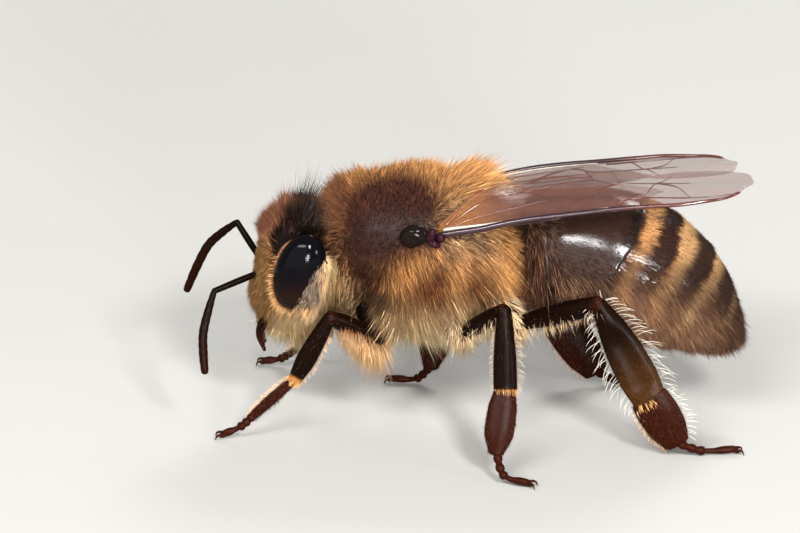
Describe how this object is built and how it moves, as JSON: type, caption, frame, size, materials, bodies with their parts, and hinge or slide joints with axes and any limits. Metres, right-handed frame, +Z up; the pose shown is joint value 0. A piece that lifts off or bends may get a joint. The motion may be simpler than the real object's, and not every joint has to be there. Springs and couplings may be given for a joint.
{
  "type": "honey bee",
  "caption": "Life-size worker honey bee standing on its legs, wings folded back over a banded, drooping abdomen.",
  "frame": {"origin": "centre of the bounding box, on the floor that the feet stand on", "axes": "+X towards the tail, so the head faces -X; +Y towards the bee's right side; +Z up"},
  "size_m": [0.016, 0.0092, 0.0076],
  "materials": {
    "coat": "dense fine hair",
    "shell": "glossy dark cuticle",
    "abdomen": "banded cuticle with short hair",
    "leg": "brown cuticle with bristles",
    "eye": "glossy black facets",
    "wing": "clear veined membrane"
  },
  "bodies": {
    "root": {"head": "coat", "thorax": "coat", "eye_left": "eye", "eye_right": "eye", "neck": "shell", "petiole": "shell", "proboscis": "shell", "mandible_left": "shell", "mandible_right": "shell", "tegula_left": "shell", "tegula_right": "shell", "scape_left": "shell", "scape_right": "shell", "flagellum_left": "shell", "flagellum_right": "shell", "abdomen_1": "abdomen", "abdomen_2": "abdomen", "abdomen_3": "abdomen", "abdomen_4": "abdomen", "abdomen_5": "abdomen", "abdomen_6": "abdomen", "forewing_left": "wing", "forewing_right": "wing", "hindwing_left": "wing", "hindwing_right": "wing", "leg_fore_left_coxa": "leg", "leg_fore_left_femur": "leg", "leg_fore_left_tibia": "leg", "leg_fore_left_basitarsus": "leg", "leg_fore_left_tarsus": "leg", "leg_fore_right_coxa": "leg", "leg_fore_right_femur": "leg", "leg_fore_right_tibia": "leg", "leg_fore_right_basitarsus": "leg", "leg_fore_right_tarsus": "leg", "leg_mid_left_coxa": "leg", "leg_mid_left_femur": "leg", "leg_mid_left_tibia": "leg", "leg_mid_left_basitarsus": "leg", "leg_mid_left_tarsus": "leg", "leg_mid_right_coxa": "leg", "leg_mid_right_femur": "leg", "leg_mid_right_tibia": "leg", "leg_mid_right_basitarsus": "leg", "leg_mid_right_tarsus": "leg", "leg_hind_left_coxa": "leg", "leg_hind_left_femur": "leg", "leg_hind_left_tibia": "leg", "leg_hind_left_basitarsus": "leg", "leg_hind_left_tarsus": "leg", "leg_hind_right_coxa": "leg", "leg_hind_right_femur": "leg", "leg_hind_right_tibia": "leg", "leg_hind_right_basitarsus": "leg", "leg_hind_right_tarsus": "leg"}
  },
  "joints": []
}
